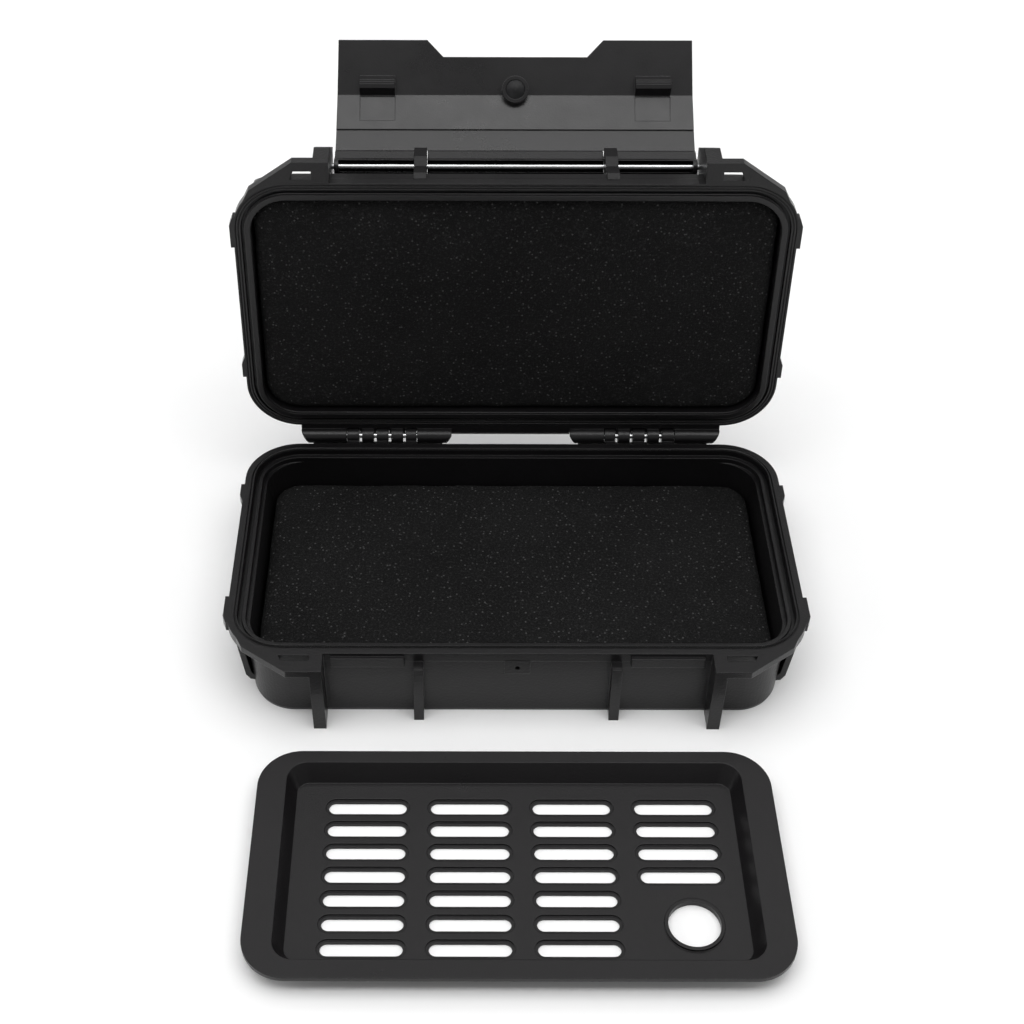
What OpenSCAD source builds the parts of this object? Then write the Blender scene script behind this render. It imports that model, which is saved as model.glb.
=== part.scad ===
// Hinged hard case with a latch flap, foam pads and a loose slotted tray.
// Millimetres, +Z up. The case stands open: the base lies on Z = 0 with its centre at X = Y = 0,
// the hinge is at the back (+Y), and the tray lies on the floor in front (-Y).
// The lid, its flap and everything fixed to them are drawn shut, then turned to the open pose.

/* [Case] */
// Outer width of the rim
case_width = 240; // [200:1:280]
// Outer depth of the rim
case_depth = 130; // [110:1:150]
// Corner radius of the rim, seen from above
corner_radius = 23.5; // [16:0.5:30]
// Height of the base's rim above the floor
base_height = 35; // [30:0.5:45]
// Height of the lid's shell above the rim
lid_height = 28; // [26:0.5:34]
// Gap between the two rims when the case is shut
rim_gap = 0.3; // [0.2:0.05:0.6]
// Height of the thick lip around each rim
lip_height = 4.5; // [3:0.1:6]
// Width of the rim from its outer edge to the opening
rim_width = 7.7; // [6:0.1:10]
// Thickness of the base's floor and of the lid's top
skin = 3; // [2:0.1:4]

/* [Hinge] */
// Distance of the hinge axis behind the case centre
hinge_y = 71; // [69:0.1:75]
// Radius of the hinge barrels
barrel_radius = 3.6; // [3:0.1:4.5]
// Radius of each hinge pin
pin_radius = 1.25; // [1:0.05:1.6]
// Angle from shut to open
lid_open_angle = 90.5; // [60:0.5:110]

/* [Latch] */
// Radius of the rod the flap turns on
rod_radius = 1.3; // [1:0.05:1.6]
// Distance of the rod in front of the case centre
rod_y = 59.7; // [58:0.1:62]
// Height of the rod above the rim, with the lid shut
rod_height = 23; // [20:0.5:26]
// Length of the flap from the rod to its free edge
flap_length = 54.5; // [50:0.5:56]
// Width of the flap at the rod
flap_width = 155; // [150:0.5:155]
// Width of the flap at its free edge
flap_tip_width = 152.4; // [148:0.2:155]
// Angle of the flap from shut to open
flap_open_angle = 123.5; // [90:0.5:140]

/* [Tray] */
// Outer width of the tray's flange
tray_width = 202.1; // [180:0.1:210]
// Outer depth of the tray's flange
tray_depth = 102.5; // [90:0.1:110]
// Height of the tray's flange above the floor
tray_height = 9.6; // [8:0.1:14]
// Length of each slot in the tray's floor
slot_length = 30.6; // [20:0.1:34]
// Width of each slot
slot_width = 5.5; // [3:0.1:7]
// Radius of the finger hole
finger_radius = 9.85; // [8:0.05:12]

/* [Hidden] */
shell_color = "#2b2a2c";
foam_color = "#232426";
rubber_color = "#151516";
steel_color = "#b9bbbd";
smooth = 64;
hull_smooth = 72;
press = 0.01;
running = 0.05;
half_w = case_width / 2;
half_d = case_depth / 2;
lid_z = base_height + rim_gap;
lid_top = base_height + lid_height;
rod_z = base_height + rod_height;
bore_end = 84;
bore_start = 38;
knuckle_pitch = 6.75;
knuckle_gap = 1.3;
knuckle_first = 75.5;
knuckle_last = 43.5;
knuckle_edges = [for (i = [0:3]) 69.3 - i * knuckle_pitch];
rib_wide = [78.9, 84.1];
rib_thin = [38.2, 42.3];
ear_outer = [78.2, 84.9];
ear_inner = [37.8, 43.2];
flange_y = 75;
flange_x = 93.5;
hook_x = 59.4;
hook_width = 15.2;
boss_radius = 5.8;
plug_radius = 4.15;
boss_drop = 33.2;
bend_drop = 31;
flap_face = 11.3;
flap_back = 14.8;
foam_top = 19;
foam_step = 10;
tray_at = [-1.96, -145.4, 0];
tray_floor = 1.8;
slot_columns = [-57.6, -17.55, 22.5, 62.55];
slot_rows = [7, 7, 7, 4];
slot_pitch = 10.61;
slot_first = 29.6;
finger_at = [65.5, -23.9];

// ---------- shared shapes ----------

// rectangle with rounded corners, centred
module rounded(w, d, r, f = smooth) {
  square([w - 2 * r, d], center = true);
  square([w, d - 2 * r], center = true);
  for (x = [-1, 1], y = [-1, 1])
    translate([x * (w / 2 - r), y * (d / 2 - r)])
      circle(r, $fn = f);
}

// rim outline moved inwards by a distance
module rim_outline(inset) {
  rounded(case_width - 2 * inset, case_depth - 2 * inset, corner_radius - inset);
}

// ring that follows the rim between two insets
module rim_ring(outer, inner, z, h) {
  translate([0, 0, z])
    linear_extrude(h)
      difference() {
        rim_outline(outer);
        rim_outline(inner);
      }
}

// thin rounded plate used as one level of a drafted shell
module level(w, front, back, r, z) {
  translate([0, (back - front) / 2, z])
    linear_extrude(0.1)
      rounded(w, front + back, r, hull_smooth);
}

// outline drawn in Y and Z, given thickness along X from one x to another
module slice_x(x0, x1) {
  translate([x0, 0, 0])
    rotate([90, 0, 90])
      linear_extrude(x1 - x0)
        children();
}

// the same slice on the right and on the left
module slice_pair(span) {
  slice_x(span[0], span[1]) children();
  slice_x(-span[1], -span[0]) children();
}

module both_sides() {
  children();
  mirror([1, 0, 0]) children();
}

// cylinder along X
module rod_x(r, x0, x1, y, z) {
  translate([x0, y, z])
    rotate([0, 90, 0])
      cylinder(h = x1 - x0, r = r, $fn = smooth);
}

// lid pose: turned open about the hinge axis
module lid_pose() {
  translate([0, hinge_y, base_height])
    rotate([-lid_open_angle, 0, 0])
      translate([0, -hinge_y, -base_height])
        children();
}

// flap pose: turned open about the rod, then carried by the lid
module flap_pose() {
  lid_pose()
    translate([0, -rod_y, rod_z])
      rotate([-flap_open_angle, 0, 0])
        children();
}

// ---------- features on both rims ----------

// thick lip with the raised finger pads on its two sides
module rim_lip(z, h) {
  translate([0, 0, z])
    linear_extrude(h)
      union() {
        rim_outline(0);
        for (s = [-1, 1])
          polygon([[s * (half_w - 2), -48], [s * half_w, -48], [s * (half_w + 1.5), -44],
                   [s * (half_w + 1.5), -33], [s * (half_w - 2), -33]]);
        for (s = [-1, 1])
          polygon([[s * (half_w - 2), 26], [s * half_w, 26], [s * (half_w + 1.5), 30],
                   [s * (half_w + 1.5), 37], [s * (half_w - 2), 37]]);
      }
}

// front corner flange in plan, right side
module flange_plan(x_in) {
  polygon([[x_in, -half_d + 2], [x_in, -flange_y], [flange_x, -flange_y], [112.4, -61.2],
           [116.2, -53.5], [106, -48], [96, -half_d + 2]]);
}

// slot through a front corner flange, right side
module flange_slot(x0, x1, y0, y1, z, h) {
  translate([0, 0, z])
    linear_extrude(h)
      polygon([[x0, -y0], [x0, -y1], [x1 - 1.5, -y1], [x1, -y0]]);
}

// ---------- base ----------

module base_body() {
  hull() {
    level(case_width - 21.5, half_d - 0.9, half_d - 2, 17, 0);
    level(case_width - 20, half_d - 0.4, half_d - 1.2, 17.8, 1.6);
    level(case_width - 15, half_d - 0.1, half_d - 0.5, 20.5, base_height - lip_height);
  }
}

module base_inside() {
  hull() {
    level(case_width - 24, half_d - 8.4, half_d - 8.4, 12, skin);
    level(case_width - 19, half_d - rim_width, half_d - rim_width, 15.8, base_height - lip_height);
  }
  translate([0, 0, base_height - lip_height])
    linear_extrude(lip_height + 1)
      rim_outline(rim_width);
}

// ribs on the front: two wide ones at the flanges and two thin ones between them
module base_ribs() {
  both_sides() {
    leaning_rib(rib_wide, 0.6, base_height - 3.3)
      polygon([[-half_d + 4, base_height - 3.3], [-flange_y, base_height - 3.3],
               [-flange_y, 22], [-flange_y + 0.5, 0], [-half_d + 5, 0]]);
    slice_x(rib_thin[0], rib_thin[1])
      polygon([[-half_d + 4, base_height - lip_height], [-70, base_height - lip_height],
               [-69.8, 0], [-half_d + 5, 0]]);
  }
}

// rib that leans towards the middle at its foot: span at the top, side view as the child
module leaning_rib(span, lean, top) {
  intersection() {
    slice_x(span[0] - 4, span[1] + 1) children();
    rotate([90, 0, 0])
      linear_extrude(2 * half_d)
        polygon([[span[0], top], [span[1], top], [span[1] - lean, -1],
                 [span[0] - lean, -1]]);
  }
}

// ledges the latch hooks catch under
module catch_ledges() {
  slice_pair([46, 76])
    polygon([[-half_d + 2, 28.4], [-half_d - 1.4, 28.4], [-half_d - 1.6, 33.4],
             [-half_d + 2, 33.4]]);
}

// carrying-strap loop on each side, standing clear of the shell's rounded corner
module strap_loops() {
  both_sides()
    translate([0, -45.5, 0])
      rotate([90, 0, 0])
        linear_extrude(7.5)
          polygon([[113.6, base_height - lip_height + 0.5], [116, base_height - lip_height + 0.5],
                   [112.9, 9], [111.2, 6.4], [104, 4.8], [104, 7.4], [109.4, 8.8],
                   [110.6, 10.6]]);
}

// hinge knuckle and its arm on the base
module base_knuckle(x0, x1) {
  rod_x(barrel_radius, x0, x1, hinge_y, base_height);
  slice_x(x0, x1)
    polygon([[half_d - 3, base_height - 9], [half_d - 3, base_height - 0.4],
             [hinge_y, base_height - 0.4], [hinge_y, base_height - barrel_radius]]);
}

module base_knuckles() {
  base_knuckle(knuckle_edges[0] + knuckle_gap / 2, knuckle_first);
  base_knuckle(knuckle_edges[2] + knuckle_gap / 2, knuckle_edges[1] - knuckle_gap / 2);
  base_knuckle(knuckle_last, knuckle_edges[3] - knuckle_gap / 2);
  // shelf that carries the knuckles
  slice_x(31.5, 91.5)
    polygon([[half_d - 3, base_height - 11], [half_d - 3, base_height - 4.6],
             [hinge_y + 1, base_height - 4.6], [hinge_y, base_height - 6]]);
}

module base_shell() {
  color(shell_color)
    difference() {
      union() {
        base_body();
        rim_lip(base_height - lip_height, lip_height);
        rim_ring(3.8, 4.3, base_height - 1, 1.6);
        both_sides()
          translate([0, 0, base_height - 3.3])
            linear_extrude(3.3)
              flange_plan(rib_wide[0]);
        base_ribs();
        catch_ledges();
        strap_loops();
        both_sides() base_knuckles();
        translate([-5.2, -half_d - 0.4, 23.4])
          cube([10.4, 3, 7.1]);
      }
      base_inside();
      // stepped sealing edge: shallow groove, deep groove, lowered inner lip
      rim_ring(3.0, 3.6, base_height - 0.5, 5);
      rim_ring(4.4, 6.0, base_height - 3, 5);
      rim_ring(5.9, rim_width + 0.1, base_height - 1.9, 5);
      both_sides() flange_slot(84.3, 97, 66, 68.8, base_height - 6, 10);
      // vent
      translate([0, -half_d + 9, 27])
        rotate([90, 0, 0])
          cylinder(h = 14, r = 1, $fn = smooth);
      both_sides() rod_x(pin_radius + running, 40, 79, hinge_y, base_height);
    }
}

module base_foam() {
  color(foam_color)
    union() {
      translate([0, 0, skin + 0.1])
        linear_extrude(foam_top - skin - 0.1)
          rounded(case_width - 24.6, case_depth - 17.4, 11.7);
      // follows the draft of the walls
      translate([0, 0, foam_step])
        linear_extrude(foam_top - foam_step)
          rounded(case_width - 23.2, case_depth - 16.8, 12.4);
    }
}

// ---------- lid, drawn shut ----------

// long wedge that cuts a sloping edge off the lid's top, along the back when not turned
module edge_cut(reach, from_z, inset) {
  rotate([90, 0, 90])
    translate([0, 0, -160])
      linear_extrude(320)
        polygon([[reach, from_z], [reach - inset, lid_top], [reach - inset, lid_top + 6],
                 [reach + 8, lid_top + 6], [reach + 8, from_z]]);
}

module lid_body() {
  difference() {
    translate([0, 0, lid_z + 3])
      linear_extrude(lid_top - lid_z - 3)
        rounded(case_width - 8.5, case_depth - 0.8, 25);
    edge_cut(half_d - 0.4, lid_top - 9, 8);
    rotate([0, 0, 180]) edge_cut(half_d - 0.4, base_height + 9, 16);
    for (a = [-90, 90])
      rotate([0, 0, a]) edge_cut(half_w - 4.25, lid_top - 9, 8);
  }
}

// inside of the lid in two steps, drawn with a margin for the pad that fills it
module lid_inside(margin, z) {
  translate([0, 0, z])
    linear_extrude(base_height + 13 - z)
      rim_outline(rim_width + margin);
  translate([0, 0.5, base_height + 12])
    linear_extrude(lid_height - 17)
      rounded(case_width - 30 - 2 * margin, case_depth - 30 - 2 * margin, 10);
}

// plate of an outer ear, side view
module outer_ear() {
  polygon([[-half_d + 3, lid_z], [-flange_y, lid_z], [-flange_y, base_height + 13],
           [-rod_y - 6.6, lid_top], [-rod_y + 7, lid_top], [-rod_y + 7, base_height + 14]]);
}

// plate of an inner ear, side view
module inner_ear() {
  polygon([[-half_d + 3, base_height + 4], [-half_d - 0.4, base_height + 4],
           [-half_d - 1.4, base_height + 7], [-half_d + 0.3, base_height + 15],
           [-rod_y - 6.6, base_height + 20.4], [-rod_y - 6.6, lid_top - 0.6],
           [-rod_y - 5.2, lid_top], [-rod_y + 7, lid_top], [-rod_y + 7, base_height + 14]]);
}

// section of the bar along the back of the lid
module bar_section() {
  polygon([[half_d - 2, base_height + 0.5], [hinge_y - 1.2, base_height + 0.5],
           [hinge_y + 0.2, base_height + 1.3], [hinge_y + 0.7, base_height + 2.8],
           [hinge_y + 0.7, base_height + 5], [hinge_y - 0.2, base_height + 6.6],
           [hinge_y - 1.6, base_height + 7.3], [half_d - 2, base_height + 7.3]]);
}

// section of a hinge block on the lid
module block_section() {
  bar_section();
  translate([hinge_y, base_height])
    circle(barrel_radius, $fn = smooth);
  polygon([[half_d - 2, base_height + 0.5], [hinge_y, base_height + 0.5],
           [hinge_y + 3.45, base_height + 0.9], [hinge_y + 0.6, base_height + 5],
           [half_d - 2, base_height + 5]]);
}

// section of the bar where it passes a knuckle of the base
module passing_section() {
  difference() {
    bar_section();
    translate([hinge_y, base_height])
      circle(4.1, $fn = smooth);
  }
}

// lid side of the hinge, right side: blocks, knuckles and the bar between them
module lid_hinge() {
  edge = [for (e = knuckle_edges) [e - knuckle_gap / 2, e + knuckle_gap / 2]];
  difference() {
    slice_x(knuckle_first + 0.3, 96.6) block_section();
    translate([0, 0, base_height - 8])
      linear_extrude(24)
        polygon([[97.6, half_d + 2.5], [96.6, half_d + 2.5], [92.2, hinge_y + 4],
                 [97.6, hinge_y + 4]]);
  }
  difference() {
    slice_x(27.3, knuckle_last - 0.3) block_section();
    translate([0, 0, base_height - 8])
      linear_extrude(24)
        polygon([[26.3, half_d + 4], [27.3, half_d + 4], [30.8, hinge_y + 4],
                 [26.3, hinge_y + 4]]);
  }
  slice_x(edge[1][1], edge[0][0]) block_section();
  slice_x(edge[3][1], edge[2][0]) block_section();
  for (span = [[edge[0][1] - 0.3, knuckle_first + 0.3], [edge[2][1] - 0.3, edge[1][0] + 0.3],
               [knuckle_last - 0.3, edge[3][0] + 0.3]])
    slice_x(span[0], span[1]) passing_section();
  for (span = [[edge[0][0], edge[0][1] - 0.3], [edge[1][0] + 0.3, edge[1][1]],
               [edge[2][0], edge[2][1] - 0.3], [edge[3][0] + 0.3, edge[3][1]]])
    slice_x(span[0], span[1]) bar_section();
}

module lid_shell() {
  color(shell_color)
    lid_pose()
      difference() {
        union() {
          difference() {
            union() {
              lid_body();
              rim_lip(lid_z, lip_height);
              slice_pair(ear_outer) outer_ear();
              slice_pair(ear_inner) inner_ear();
              both_sides()
                translate([0, 0, lid_z])
                  linear_extrude(4.2)
                    flange_plan(ear_outer[0]);
            }
            lid_inside(0, lid_z - 1);
          }
          // sealing tongue that drops inside the base's edge
          rim_ring(5.0, 7.5, lid_z - 1.3, 3);
          slice_x(-27.3, 27.3) bar_section();
          both_sides() lid_hinge();
        }
        // groove for the gasket and the fine lines outside it
        rim_ring(3.4, 4.7, lid_z - 1, 4);
        rim_ring(1.0, 1.4, lid_z - 1, 1.3);
        rim_ring(2.2, 2.7, lid_z - 1, 1.3);
        both_sides() flange_slot(85.6, 94.5, 66.8, 70.8, lid_z - 1, 10);
        both_sides() rod_x(pin_radius - press, bore_start, bore_end, hinge_y, base_height);
        rod_x(rod_radius - press, -80.5, 80.5, -rod_y, rod_z);
      }
}

module lid_foam() {
  color(foam_color)
    lid_pose()
      lid_inside(0.4, lid_z + 1.2);
}

module rim_gasket() {
  color(rubber_color)
    lid_pose()
      rim_ring(3.5, 4.6, lid_z + 1, 2);
}

module hinge_pin(x0, x1) {
  color(steel_color)
    rod_x(pin_radius, x0, x1, hinge_y, base_height);
}

module hinge_pin_left() {
  hinge_pin(-bore_end, -bore_start);
}

module hinge_pin_right() {
  hinge_pin(bore_start, bore_end);
}

module latch_rod() {
  color(steel_color)
    lid_pose()
      rod_x(rod_radius, -80.5, 80.5, -rod_y, rod_z);
}

// ---------- latch flap, drawn hanging shut from the rod at the origin ----------
// its length runs down (-Z) and its outer face looks forward (-Y)

module flap_section() {
  circle(3.4, $fn = smooth);
  polygon([[-3.3, 0], [-7.6, -6.5], [-13.6, -16], [-flap_back, -20], [-flap_back, -flap_length],
           [-flap_face, -flap_length], [-flap_face, -bend_drop], [-8, -16], [-8.7, -16.4],
           [-5.6, -7], [-3.6, -6.6], [-0.8, -3.2]]);
}

module flap_plan() {
  difference() {
    polygon([[-flap_width / 2, 5], [flap_width / 2, 5], [flap_width / 2, 0],
             [flap_tip_width / 2, -flap_length], [-flap_tip_width / 2, -flap_length],
             [-flap_width / 2, 0]]);
    polygon([[-38.9, -flap_length - 1], [-31, 7.2 - flap_length], [31, 7.2 - flap_length],
             [38.9, -flap_length - 1]]);
    for (s = [-1, 1])
      translate([s * 40.5 - 2.85, -7])
        square([5.7, 13]);
  }
}

// hook that catches under the base's ledge
module flap_hook() {
  polygon([[-flap_face - 0.5, -30.6], [-6.2, -33.6], [-5.9, -35.4], [-7.4, -36.4],
           [-7.4, -37.4], [-flap_face - 0.5, -39.4]]);
}

// open channel around the rod, closed by a thin bearing web at each end
module flap_channel() {
  end = flap_width / 2 - 1.9;
  rod_x(2.5, -end, end, 0, 0);
  translate([-end, 0, -2.5])
    cube([2 * end, 5, 5]);
}

module latch_flap() {
  color(shell_color)
    flap_pose()
      difference() {
        union() {
          intersection() {
            slice_x(-flap_width / 2, flap_width / 2) flap_section();
            translate([0, 10, 0])
              rotate([90, 0, 0])
                linear_extrude(40)
                  flap_plan();
          }
          for (s = [-1, 1])
            slice_x(s * hook_x - hook_width / 2, s * hook_x + hook_width / 2) flap_hook();
          translate([0, -flap_face - 0.5, -boss_drop])
            rotate([-90, 0, 0])
              cylinder(h = 5, r = boss_radius, $fn = smooth);
        }
        flap_channel();
        rod_x(rod_radius + running, -90, 90, 0, 0);
        // cup for the plug
        translate([0, -flap_face + 0.8, -boss_drop])
          rotate([-90, 0, 0])
            cylinder(h = 6, r = plug_radius - press, $fn = smooth);
        // shallow square pads between the hooks and the rod, left by the mould
        for (s = [-1, 1])
          translate([s * hook_x - hook_width / 2, -11.66, -30.4])
            rotate([-12.4, 0, 0])
              cube([hook_width, 5, 10.8]);
      }
}

module vent_plug() {
  color(rubber_color)
    flap_pose()
      translate([0, -flap_face + 0.8, -boss_drop])
        rotate([-90, 0, 0])
          rotate_extrude($fn = smooth)
            intersection() {
              translate([0, -3.2])
                circle(7.8, $fn = smooth * 2);
              square([plug_radius, 8]);
            }
}

// ---------- tray ----------

module slot_outline(grow) {
  for (s = [-1, 1])
    translate([s * (slot_length - slot_width) / 2, 0])
      circle(slot_width / 2 + grow, $fn = hull_smooth);
  square([slot_length - slot_width, slot_width + 2 * grow], center = true);
}

module tray_slots(grow, z, h) {
  for (c = [0:3], r = [0:slot_rows[c] - 1])
    translate([slot_columns[c], slot_first - r * slot_pitch, z])
      linear_extrude(h)
        slot_outline(grow);
}

module tray() {
  color(shell_color)
    translate(tray_at)
      difference() {
        union() {
          difference() {
            union() {
              translate([0, 0, tray_height - 2])
                linear_extrude(2)
                  rounded(tray_width, tray_depth, 17);
              hull() {
                level(tray_width - 26.6, 41.2, 43.2, 7, 0);
                level(tray_width - 19.8, 45.4, 47.4, 10, tray_height - 1);
              }
            }
            hull() {
              level(tray_width - 30.3, 39.4, 41.4, 5, tray_floor);
              level(tray_width - 22.7, 43.6, 45.6, 8, tray_height);
            }
          }
          // raised collar around the finger hole
          translate([finger_at[0], finger_at[1], 0.5])
            cylinder(h = 2.3, r = finger_radius + 1.35, $fn = smooth);
        }
        tray_slots(0, -1, 6);
        tray_slots(1.2, tray_floor - 0.8, 3);
        translate([finger_at[0], finger_at[1], -1])
          cylinder(h = 8, r = finger_radius, $fn = smooth);
      }
}

base_shell();
lid_shell();
base_foam();
lid_foam();
rim_gasket();
hinge_pin_left();
hinge_pin_right();
latch_flap();
latch_rod();
vent_plug();
tray();
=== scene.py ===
"""Looks of the open hard case.

Moulded plastic shells, flap and slotted tray, foam pads, steel pins, rubber seal and plug.
"""

import math

import bmesh
import bpy
from mathutils import Matrix, Vector, noise


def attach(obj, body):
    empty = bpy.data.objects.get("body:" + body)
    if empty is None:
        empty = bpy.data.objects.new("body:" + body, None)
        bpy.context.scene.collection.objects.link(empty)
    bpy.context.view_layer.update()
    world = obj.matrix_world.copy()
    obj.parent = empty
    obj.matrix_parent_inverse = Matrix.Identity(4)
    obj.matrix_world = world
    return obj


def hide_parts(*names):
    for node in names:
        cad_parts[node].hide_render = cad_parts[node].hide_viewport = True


MM = 0.001

# The lid's hinge line, and the turn from the shut lid to the lid as it stands at rest.
HINGE = Vector((0, 71, 35)) * MM
OPEN = math.radians(-90.5)

# Foam pads: (inset, drop) in mm along the soft edge, from the side wall up to the face.
PAD_EDGE = ((0.0, 3.4), (0.25, 2.1), (0.8, 1.1), (1.7, 0.45), (3.2, 0.1), (6.0, 0.0))
PAD_BACK_INSET_X, PAD_BACK_INSET_Y, PAD_BACK_CORNER = 0.7, 0.4, 0.5  # mm, the back's outline
PAD_VOXEL = 0.0016  # m, mesh size
PAD_UNEVEN = 0.0003  # m, how far the cut faces wander
WAVES_PER_M, CRUMBS_PER_M, CRUMB_SHARE = 70, 420, 0.45

CORNER_STEPS = 10  # points on each quarter turn of an outline
BEVEL_SAMPLES = 6

# Stage: the paper's section as (y, z) in m, half its width, and its shade.
PAPER_SECTION = ((-4.0, 0.0), (1.6, 0.0), (2.2, 0.08), (2.6, 0.35), (2.8, 0.8), (2.85, 1.6))
PAPER_HALF_WIDTH = 4.5
PAPER_SHADE, PAPER_ROUGHNESS = 0.9, 0.9

# Area lights: name, position in m, point aimed at, size in m, power in W.
LIGHTS = (
    ("softbox", (0, -0.52, 1.5), (0, 0.08, 0.18), (2.0, 0.42), 11.5),
    ("zenith", (0, 0.15, 2.0), (0, 0.1, 0), (2.6, 0.8), 14),
    ("left", (-1.8, 0.2, 0.7), (0, 0, 0.05), (1.0, 0.9), 7),
    ("right", (1.8, 0.2, 0.7), (0, 0, 0.05), (1.0, 0.9), 5),
    ("backdrop", (0, 1.2, 1.9), (0, 2.4, 0.2), (3.2, 1.0), 16),
)
WORLD_STRENGTH = 0.42

# Camera: above and in front of the tray, tilted down at the case.
CAMERA_AT = (-0.02507, -0.55123, 0.56493)
CAMERA_TILT = math.radians(50.72)
CAMERA_ROLL = 0.0021
LENS, SENSOR = 61.94, 36  # mm
SHIFT_X, SHIFT_Y = 0.0543, -0.109
CLIP_NEAR, CLIP_FAR = 0.01, 20  # m


# ---------- node helpers ----------


def start(name):
    """New material with a Principled shader; also gives the object coordinates."""
    m = bpy.data.materials.new(name)
    m.use_nodes = True
    nodes, links = m.node_tree.nodes, m.node_tree.links
    nodes.clear()
    out = nodes.new("ShaderNodeOutputMaterial")
    shader = nodes.new("ShaderNodeBsdfPrincipled")
    links.new(shader.outputs[0], out.inputs[0])
    where = nodes.new("ShaderNodeTexCoord").outputs["Object"]
    return m, nodes, links, shader, where


def fractal(nodes, links, where, scale, detail, rough):
    n = nodes.new("ShaderNodeTexNoise")
    n.inputs["Scale"].default_value = scale
    n.inputs["Detail"].default_value = detail
    n.inputs["Roughness"].default_value = rough
    links.new(where, n.inputs["Vector"])
    return n.outputs["Fac"]


def cells(nodes, links, where, scale, feature="F1"):
    n = nodes.new("ShaderNodeTexVoronoi")
    n.feature = feature
    n.inputs["Scale"].default_value = scale
    links.new(where, n.inputs["Vector"])
    return n.outputs["Distance"]


def ramp(nodes, links, value, stops):
    """Colour ramp through (position, colour) stops."""
    n = nodes.new("ShaderNodeValToRGB")
    while len(n.color_ramp.elements) < len(stops):
        n.color_ramp.elements.new(0.5)
    for e, (at, colour) in zip(n.color_ramp.elements, stops):
        e.position = at
        e.color = (*colour, 1)
    links.new(value, n.inputs["Fac"])
    return n.outputs["Color"]


def grey(v):
    return (v, v, v)


def scaled(colour, gain):
    return tuple(c * gain for c in colour)


def blend(nodes, links, mode, fac, a, b):
    """Mixes colours a and b; each of fac, a and b is a socket or a plain value."""
    n = nodes.new("ShaderNodeMix")
    n.data_type = "RGBA"
    n.blend_type = mode
    for socket, value in ((n.inputs["Factor"], fac), (n.inputs[6], a), (n.inputs[7], b)):
        if isinstance(value, float):
            socket.default_value = value
        elif isinstance(value, tuple):
            socket.default_value = (*value, 1)
        else:
            links.new(value, socket)
    return n.outputs[2]


def add(nodes, links, a, b, gain):
    """a + gain * b"""
    n = nodes.new("ShaderNodeMath")
    n.operation = "MULTIPLY_ADD"
    links.new(b, n.inputs[0])
    n.inputs[1].default_value = gain
    links.new(a, n.inputs[2])
    return n.outputs[0]


def bump(nodes, links, shader, height, depth, round_edge=0.0):
    """Surface relief of the given depth, over edges rounded by round_edge, both in m."""
    n = nodes.new("ShaderNodeBump")
    n.inputs["Strength"].default_value = 1.0
    n.inputs["Distance"].default_value = depth
    links.new(height, n.inputs["Height"])
    if round_edge:
        soft = nodes.new("ShaderNodeBevel")
        soft.samples = BEVEL_SAMPLES
        soft.inputs["Radius"].default_value = round_edge
        links.new(soft.outputs[0], n.inputs["Normal"])
    links.new(n.outputs[0], shader.inputs["Normal"])


# ---------- materials ----------


def moulded(name, colour, rough, gloss_level, grain_depth, grain_scale, edge):
    """Moulded black plastic: pebbled grain with painted shade darkening its pits, faint flow
    marks and handling wear in the gloss.
    """
    m, nodes, links, shader, where = start(name)
    pebble = cells(nodes, links, where, grain_scale, "SMOOTH_F1")
    fine = fractal(nodes, links, where, grain_scale * 2.2, 4, 0.6)
    broad = fractal(nodes, links, where, 22, 3, 0.5)
    smear = fractal(nodes, links, where, 130, 4, 0.65)
    height = add(nodes, links, pebble, fine, 0.5)
    tone = ramp(nodes, links, broad, [(0.3, scaled(colour, 0.85)), (0.7, scaled(colour, 1.15))])
    # painted shade: the colour is darker in the low hollows of the pebbled grain
    pit_shade = ramp(nodes, links, pebble, [(0.0, grey(0.75)), (0.6, grey(1.0))])
    links.new(blend(nodes, links, "MULTIPLY", 1.0, tone, pit_shade), shader.inputs["Base Color"])
    wear = add(nodes, links, broad, smear, 0.8)
    gloss = ramp(nodes, links, wear, [(0.55, grey(rough - 0.02)), (1.0, grey(rough + 0.05))])
    links.new(gloss, shader.inputs["Roughness"])
    shader.inputs["Specular IOR Level"].default_value = gloss_level
    bump(nodes, links, shader, height, grain_depth, edge)
    return m


def foam_material():
    """Open-cell foam: painted shade darkening the fine pores, and small pale specks and crumbs
    painted as highlights where cell walls catch the light.
    """
    pore_dark, pore_pale = (0.0025, 0.0025, 0.0026), (0.0078, 0.0078, 0.0079)
    m, nodes, links, shader, where = start("foam")
    pores = cells(nodes, links, where, 1500)
    crumb = fractal(nodes, links, where, 900, 4, 0.65)
    broad = fractal(nodes, links, where, 30, 3, 0.5)
    dots = cells(nodes, links, where, 400)
    # painted shade: darker at the pore centres, the low points of the relief
    base = ramp(nodes, links, pores, [(0.0, pore_dark), (0.6, pore_pale)])
    tone = ramp(nodes, links, broad, [(0.3, grey(0.8)), (0.7, grey(1.2))])
    base = blend(nodes, links, "MULTIPLY", 1.0, base, tone)
    speck = ramp(nodes, links, dots, [(0.10, grey(0.8)), (0.20, grey(0.0))])
    base = blend(nodes, links, "MIX", speck, base, grey(0.075))
    # painted highlight: paler where the crumb relief stands high, as if lit
    crumb_glint = ramp(nodes, links, crumb, [(0.53, grey(0.0)), (0.66, grey(0.5))])
    base = blend(nodes, links, "MIX", crumb_glint, base, grey(0.032))
    links.new(base, shader.inputs["Base Color"])
    shader.inputs["Roughness"].default_value = 0.95
    shader.inputs["Specular IOR Level"].default_value = 0.12
    height = add(nodes, links, pores, crumb, 0.8)
    bump(nodes, links, shader, height, 0.00035)
    return m


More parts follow.
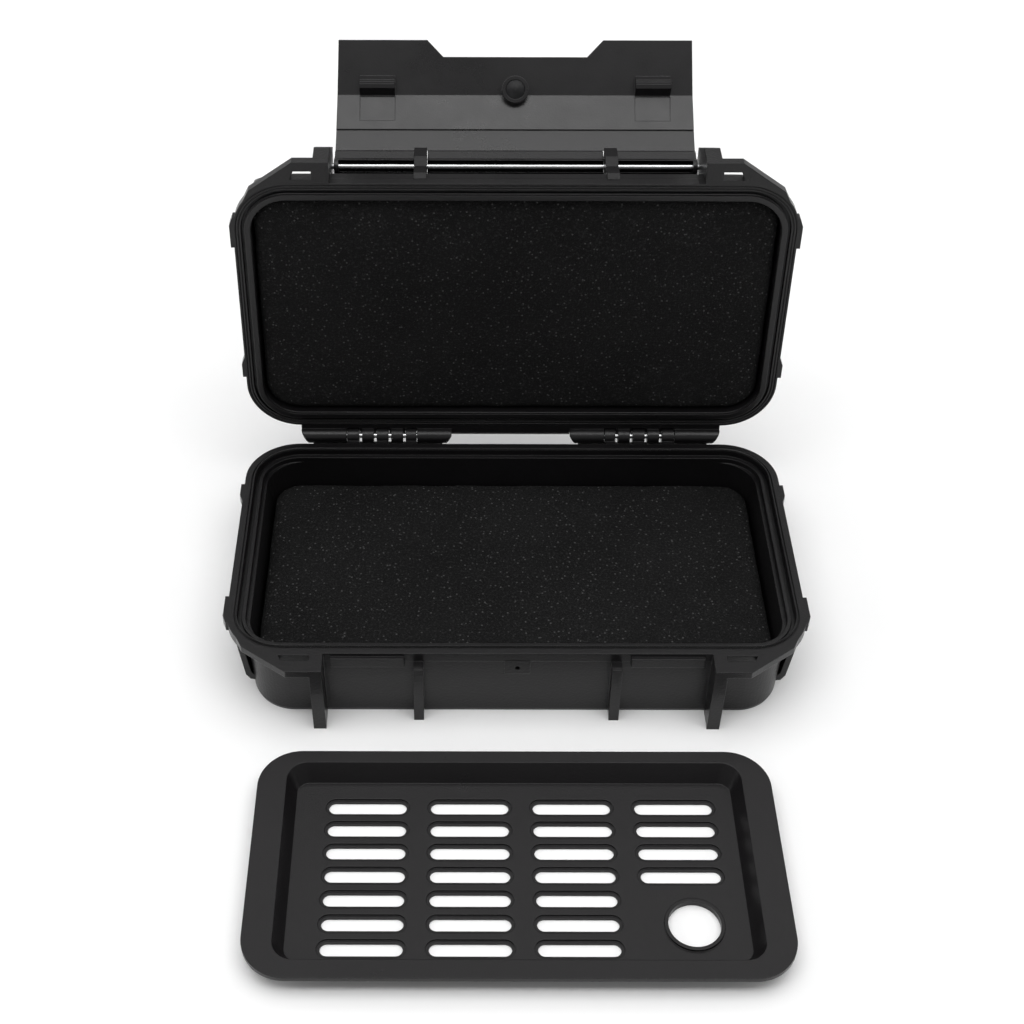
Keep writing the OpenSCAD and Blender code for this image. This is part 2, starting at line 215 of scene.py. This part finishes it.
def steel_material():
    """Drawn steel wire: bright, with fine scratches along its length."""
    steel_dark, steel_pale = (0.62, 0.63, 0.64), (0.78, 0.785, 0.79)
    along, across = 30, 2600
    m, nodes, links, shader, where = start("steel")
    stretch = nodes.new("ShaderNodeMapping")
    stretch.inputs["Scale"].default_value = (along, across, across)
    links.new(where, stretch.inputs["Vector"])
    lines = fractal(nodes, links, stretch.outputs[0], 1.0, 3, 0.6)
    spots = fractal(nodes, links, where, 300, 3, 0.6)
    colour = ramp(nodes, links, lines, [(0.3, steel_dark), (0.7, steel_pale)])
    links.new(colour, shader.inputs["Base Color"])
    gloss = ramp(nodes, links, spots, [(0.35, grey(0.14)), (0.7, grey(0.26))])
    links.new(gloss, shader.inputs["Roughness"])
    shader.inputs["Metallic"].default_value = 1.0
    bump(nodes, links, shader, lines, 0.00002)
    return m


def rubber_material():
    """Soft rubber: dusty bloom over a semi-matt black."""
    clean, dusty = (0.008, 0.008, 0.0085), (0.020, 0.020, 0.021)
    m, nodes, links, shader, where = start("rubber")
    dust = fractal(nodes, links, where, 240, 5, 0.65)
    broad = fractal(nodes, links, where, 45, 2, 0.5)
    colour = ramp(nodes, links, dust, [(0.4, clean), (0.75, dusty)])
    links.new(colour, shader.inputs["Base Color"])
    gloss = ramp(nodes, links, broad, [(0.3, grey(0.42)), (0.7, grey(0.55))])
    links.new(gloss, shader.inputs["Roughness"])
    shader.inputs["Specular IOR Level"].default_value = 0.2
    bump(nodes, links, shader, dust, 0.00006, 0.0002)
    return m


# ---------- geometry helpers ----------


def link_mesh(name, bm):
    """Turns a finished bmesh into an object in the scene."""
    bmesh.ops.recalc_face_normals(bm, faces=bm.faces)
    mesh = bpy.data.meshes.new(name)
    bm.to_mesh(mesh)
    bm.free()
    obj = bpy.data.objects.new(name, mesh)
    bpy.context.scene.collection.objects.link(obj)
    return obj


def rounded_loop(half_x, y0, y1, r):
    """Corner-rounded outline in X and Y, counterclockwise, in millimetres."""
    points = []
    for cx, cy, a0 in ((half_x - r, y1 - r, 0), (-half_x + r, y1 - r, 90),
                       (-half_x + r, y0 + r, 180), (half_x - r, y0 + r, 270)):
        for i in range(CORNER_STEPS + 1):
            a = math.radians(a0 + 90 * i / CORNER_STEPS)
            points.append((cx + r * math.cos(a), cy + r * math.sin(a)))
    return points


def stack(name, levels):
    """Closed solid through outlines given as (z, points), in millimetres."""
    bm = bmesh.new()
    rings = [[bm.verts.new((x * MM, y * MM, z * MM)) for x, y in pts] for z, pts in levels]
    for low, high in zip(rings, rings[1:]):
        for i in range(len(low)):
            j = (i + 1) % len(low)
            bm.faces.new((low[i], low[j], high[j], high[i]))
    bm.faces.new(list(reversed(rings[0])))
    bm.faces.new(rings[-1])
    return link_mesh(name, bm)


def remesh(obj, size):
    """Even mesh of small faces, which uneven() can move."""
    bpy.context.view_layer.objects.active = obj
    mod = obj.modifiers.new("remesh", "REMESH")
    mod.mode = "VOXEL"
    mod.voxel_size = size
    mod.use_smooth_shade = True
    bpy.ops.object.modifier_apply(modifier=mod.name)


def uneven(obj, amount, seed):
    """Moves points a little along their normals, as cut foam is never quite flat."""
    mesh = obj.data
    normals = [v.normal.copy() for v in mesh.vertices]
    for v, n in zip(mesh.vertices, normals):
        p = v.co
        wave = noise.noise(p * WAVES_PER_M + Vector((seed, 0, 0)))
        crumb = noise.noise(p * CRUMBS_PER_M + Vector((0, seed, 0)))
        v.co = p + n * amount * (wave + CRUMB_SHARE * crumb - 0.5)
    mesh.update()


# ---------- foam pads ----------


def foam_pad(name, half_x, half_y, r, z_face, z_back, seed):
    """Foam pad with a soft, slightly crowned edge round its open face, in millimetres."""
    up = 1 if z_face > z_back else -1
    back_y = half_y - PAD_BACK_INSET_Y
    levels = [(z_back, rounded_loop(half_x - PAD_BACK_INSET_X, -back_y, back_y,
                                    r - PAD_BACK_CORNER))]
    for inset, drop in PAD_EDGE:
        y = half_y - inset
        levels.append((z_face - up * drop, rounded_loop(half_x - inset, -y, y, r - inset)))
    pad = stack(name, levels)
    remesh(pad, PAD_VOXEL)
    uneven(pad, PAD_UNEVEN, seed)
    return pad


def fit_pad(pad, material, body, node):
    """Gives the pad its material and its body, and hides the solid that it stands in for."""
    pad.data.materials.append(material)
    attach(pad, body)
    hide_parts(node)


def base_pad(material):
    pad = foam_pad("base_pad", half_x=108.2, half_y=56.4, r=12.2, z_face=19, z_back=3.1, seed=3.0)
    fit_pad(pad, material, "base", "base_foam")


def lid_pad(material):
    """Built in the shut lid, then turned about the hinge into the open one."""
    pad = foam_pad("lid_pad", half_x=111.7, half_y=56.7, r=14, z_face=36.6, z_back=47.6, seed=9.0)
    pad.data.transform(Matrix.Translation(HINGE) @ Matrix.Rotation(OPEN, 4, "X")
                       @ Matrix.Translation(-HINGE))
    fit_pad(pad, material, "lid", "lid_foam")


# ---------- stage ----------


def floor():
    """White paper sweep, flat under the case and rising behind it."""
    bm = bmesh.new()
    left, right = [[bm.verts.new((x, y, z)) for y, z in PAPER_SECTION]
                   for x in (-PAPER_HALF_WIDTH, PAPER_HALF_WIDTH)]
    for i in range(len(PAPER_SECTION) - 1):
        bm.faces.new((left[i], right[i], right[i + 1], left[i + 1]))
    obj = link_mesh("floor", bm)
    paper, _, _, shader, _ = start("paper")
    shader.inputs["Base Color"].default_value = (*grey(PAPER_SHADE), 1)
    shader.inputs["Roughness"].default_value = PAPER_ROUGHNESS
    obj.data.materials.append(paper)


def area_light(name, at, look, size, power):
    data = bpy.data.lights.new(name, "AREA")
    data.shape = "RECTANGLE"
    data.size, data.size_y = size
    data.energy = power
    obj = bpy.data.objects.new(name, data)
    obj.location = at
    obj.rotation_euler = (Vector(look) - Vector(at)).to_track_quat("-Z", "Y").to_euler()
    bpy.context.scene.collection.objects.link(obj)


def lights():
    for light in LIGHTS:
        area_light(*light)
    world = bpy.data.worlds.new("studio")
    world.use_nodes = True
    sky = world.node_tree.nodes["Background"]
    sky.inputs["Color"].default_value = (1, 1, 1, 1)
    sky.inputs["Strength"].default_value = WORLD_STRENGTH
    bpy.context.scene.world = world
    bpy.context.scene.view_settings.view_transform = "Standard"


def camera():
    data = bpy.data.cameras.new("camera")
    data.lens = LENS
    data.sensor_width = SENSOR
    data.shift_x = SHIFT_X
    data.shift_y = SHIFT_Y
    data.clip_start = CLIP_NEAR
    data.clip_end = CLIP_FAR
    obj = bpy.data.objects.new("camera", data)
    obj.location = CAMERA_AT
    obj.rotation_euler = (CAMERA_TILT, 0, 0)
    obj.rotation_euler.rotate_axis("Z", CAMERA_ROLL)
    bpy.context.scene.collection.objects.link(obj)
    bpy.context.scene.camera = obj


# ---------- build ----------

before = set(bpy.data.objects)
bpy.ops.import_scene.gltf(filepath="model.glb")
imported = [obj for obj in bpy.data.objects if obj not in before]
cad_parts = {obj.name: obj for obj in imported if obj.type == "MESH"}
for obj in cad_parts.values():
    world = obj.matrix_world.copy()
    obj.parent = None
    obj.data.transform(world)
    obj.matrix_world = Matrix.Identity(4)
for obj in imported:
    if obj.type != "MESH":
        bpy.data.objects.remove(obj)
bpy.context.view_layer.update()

shell = moulded("shell_plastic", colour=(0.0060, 0.0056, 0.0061), rough=0.29, gloss_level=0.34,
                grain_depth=0.00006, grain_scale=1100, edge=0.0005)
flap_skin = moulded("flap_plastic", colour=(0.0072, 0.0067, 0.0074), rough=0.27, gloss_level=0.43,
                    grain_depth=0.00002, grain_scale=1700, edge=0.0004)
tray_skin = moulded("tray_plastic", colour=(0.0062, 0.0055, 0.0062), rough=0.28, gloss_level=0.32,
                    grain_depth=0.00003, grain_scale=1500, edge=0.0005)
foam = foam_material()
steel = steel_material()
rubber = rubber_material()

finish_of = {
    "base_shell": shell, "lid_shell": shell, "latch_flap": flap_skin, "tray": tray_skin,
    "rim_gasket": rubber, "vent_plug": rubber, "latch_rod": steel,
    "hinge_pin_left": steel, "hinge_pin_right": steel,
}
for node, material in finish_of.items():
    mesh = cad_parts[node].data
    mesh.materials.clear()
    mesh.materials.append(material)

base_pad(foam)
lid_pad(foam)
floor()
lights()
camera()
